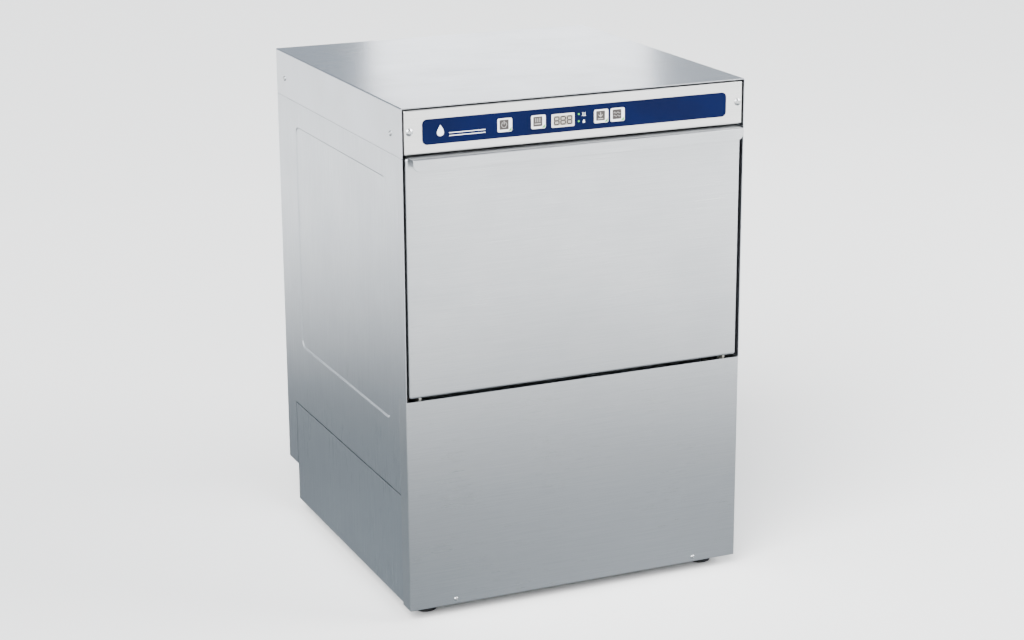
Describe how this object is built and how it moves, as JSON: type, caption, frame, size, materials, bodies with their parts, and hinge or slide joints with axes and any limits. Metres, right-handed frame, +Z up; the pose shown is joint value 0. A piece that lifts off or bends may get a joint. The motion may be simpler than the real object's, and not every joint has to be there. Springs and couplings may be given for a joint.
{
  "type": "undercounter commercial dishwasher",
  "caption": "Front-loading undercounter commercial dishwasher: stainless cabinet, drop-down door with a folded handle, blue key panel, wash and rinse arms, tank, pump and boiler inside.",
  "frame": {"origin": "on the floor, under the middle of the machine's box with the door closed, handle included", "axes": "+X to the right of a person facing the front, -Y out of the front door, +Z up"},
  "size_m": [0.6, 0.63, 0.85],
  "materials": {
    "brushed_steel": "brushed stainless sheet, fine straight grain",
    "fascia_steel": "fine satin stainless sheet",
    "chamber_steel": "smooth pressed stainless steel",
    "zinc_steel": "zinc-plated steel",
    "membrane": "printed polyester membrane, dark blue, satin",
    "key_plastic": "silver-grey moulded keys",
    "display_window": "pale display window with dark segments",
    "rubber": "black rubber, matt",
    "black_plastic": "black moulded plastic",
    "grey_plastic": "grey moulded polypropylene",
    "circuit_board": "green laminate board",
    "motor_paint": "dark stoved paint on cast aluminium",
    "brass": "machined brass"
  },
  "bodies": {
    "cabinet": {"base_tray": "zinc_steel", "boiler": "chamber_steel", "boiler_element": "zinc_steel", "cable_gland": "black_plastic", "connection_plate": "zinc_steel", "control_board": "circuit_board", "control_fascia": "fascia_steel", "control_membrane": "membrane", "display_module": "display_window", "door_gasket": "rubber", "drain_hose": "grey_plastic", "front_frame": "chamber_steel", "inlet_valve": "brass", "left_door_spring": "zinc_steel", "left_hinge_bracket": "zinc_steel", "left_hinge_pin": "zinc_steel", "left_lower_panel": "brushed_steel", "left_rack_rail": "chamber_steel", "left_side_panel": "brushed_steel", "left_support_frame": "zinc_steel", "left_tank_filter": "chamber_steel", "lower_arm_hub": "chamber_steel", "lower_front_panel": "brushed_steel", "overflow_pipe": "grey_plastic", "pump_casing": "black_plastic", "pump_motor": "motor_paint", "rear_cover": "brushed_steel", "right_door_spring": "zinc_steel", "right_hinge_bracket": "zinc_steel", "right_hinge_pin": "zinc_steel", "right_lower_panel": "brushed_steel", "right_rack_rail": "chamber_steel", "right_side_panel": "brushed_steel", "right_support_frame": "zinc_steel", "right_tank_filter": "chamber_steel", "riser_hose": "rubber", "suction_hose": "rubber", "tank_heater": "chamber_steel", "top_cover": "brushed_steel", "upper_arm_hub": "chamber_steel", "wash_chamber": "chamber_steel", "wash_tank": "chamber_steel"},
    "door": {"door_outer_panel": "brushed_steel", "door_inner_panel": "chamber_steel", "door_handle": "brushed_steel", "left_hinge_arm": "zinc_steel", "right_hinge_arm": "zinc_steel"},
    "button_1": {"button_1": "key_plastic"},
    "button_2": {"button_2": "key_plastic"},
    "button_3": {"button_3": "key_plastic"},
    "button_4": {"button_4": "key_plastic"},
    "front_left_foot": {"front_left_foot": "black_plastic"},
    "rear_left_foot": {"rear_left_foot": "black_plastic"},
    "rear_right_foot": {"rear_right_foot": "black_plastic"},
    "front_right_foot": {"front_right_foot": "black_plastic"},
    "lower_wash_arm": {"lower_wash_arm": "chamber_steel"},
    "lower_rinse_arm": {"lower_rinse_arm": "chamber_steel"},
    "upper_wash_arm": {"upper_wash_arm": "chamber_steel"},
    "upper_rinse_arm": {"upper_rinse_arm": "chamber_steel"},
    "pump_impeller": {"pump_impeller": "black_plastic"}
  },
  "joints": [
    {"name": "door_hinge", "type": "hinge", "parent": "cabinet", "child": "door", "pos_m": [0, -0.281, 0.395], "axis": [1, 0, 0], "range_deg": [0, 90], "deforming": ["left_door_spring", "right_door_spring"]},
    {"name": "button_1_push", "type": "slide", "parent": "cabinet", "child": "button_1", "axis": [0, 1, 0], "range_m": [0, 0.001], "stiffness_N_per_m": 900},
    {"name": "button_2_push", "type": "slide", "parent": "cabinet", "child": "button_2", "axis": [0, 1, 0], "range_m": [0, 0.001], "stiffness_N_per_m": 900},
    {"name": "button_3_push", "type": "slide", "parent": "cabinet", "child": "button_3", "axis": [0, 1, 0], "range_m": [0, 0.001], "stiffness_N_per_m": 900},
    {"name": "button_4_push", "type": "slide", "parent": "cabinet", "child": "button_4", "axis": [0, 1, 0], "range_m": [0, 0.001], "stiffness_N_per_m": 900},
    {"name": "front_left_foot_height", "type": "slide", "parent": "cabinet", "child": "front_left_foot", "axis": [0, 0, -1], "range_m": [0, 0.02]},
    {"name": "rear_left_foot_height", "type": "slide", "parent": "cabinet", "child": "rear_left_foot", "axis": [0, 0, -1], "range_m": [0, 0.02]},
    {"name": "rear_right_foot_height", "type": "slide", "parent": "cabinet", "child": "rear_right_foot", "axis": [0, 0, -1], "range_m": [0, 0.02]},
    {"name": "front_right_foot_height", "type": "slide", "parent": "cabinet", "child": "front_right_foot", "axis": [0, 0, -1], "range_m": [0, 0.02]},
    {"name": "lower_wash_arm_spin", "type": "hinge", "parent": "cabinet", "child": "lower_wash_arm", "pos_m": [0, 0.006, 0.39], "axis": [0, 0, 1], "continuous": true},
    {"name": "lower_rinse_arm_spin", "type": "hinge", "parent": "cabinet", "child": "lower_rinse_arm", "pos_m": [0, 0.006, 0.39], "axis": [0, 0, 1], "continuous": true},
    {"name": "upper_wash_arm_spin", "type": "hinge", "parent": "cabinet", "child": "upper_wash_arm", "pos_m": [0, 0.006, 0.74], "axis": [0, 0, 1], "continuous": true},
    {"name": "upper_rinse_arm_spin", "type": "hinge", "parent": "cabinet", "child": "upper_rinse_arm", "pos_m": [0, 0.006, 0.74], "axis": [0, 0, 1], "continuous": true},
    {"name": "pump_impeller_spin", "type": "hinge", "parent": "cabinet", "child": "pump_impeller", "pos_m": [0.01, 0.006, 0.13], "axis": [1, 0, 0], "continuous": true}
  ]
}
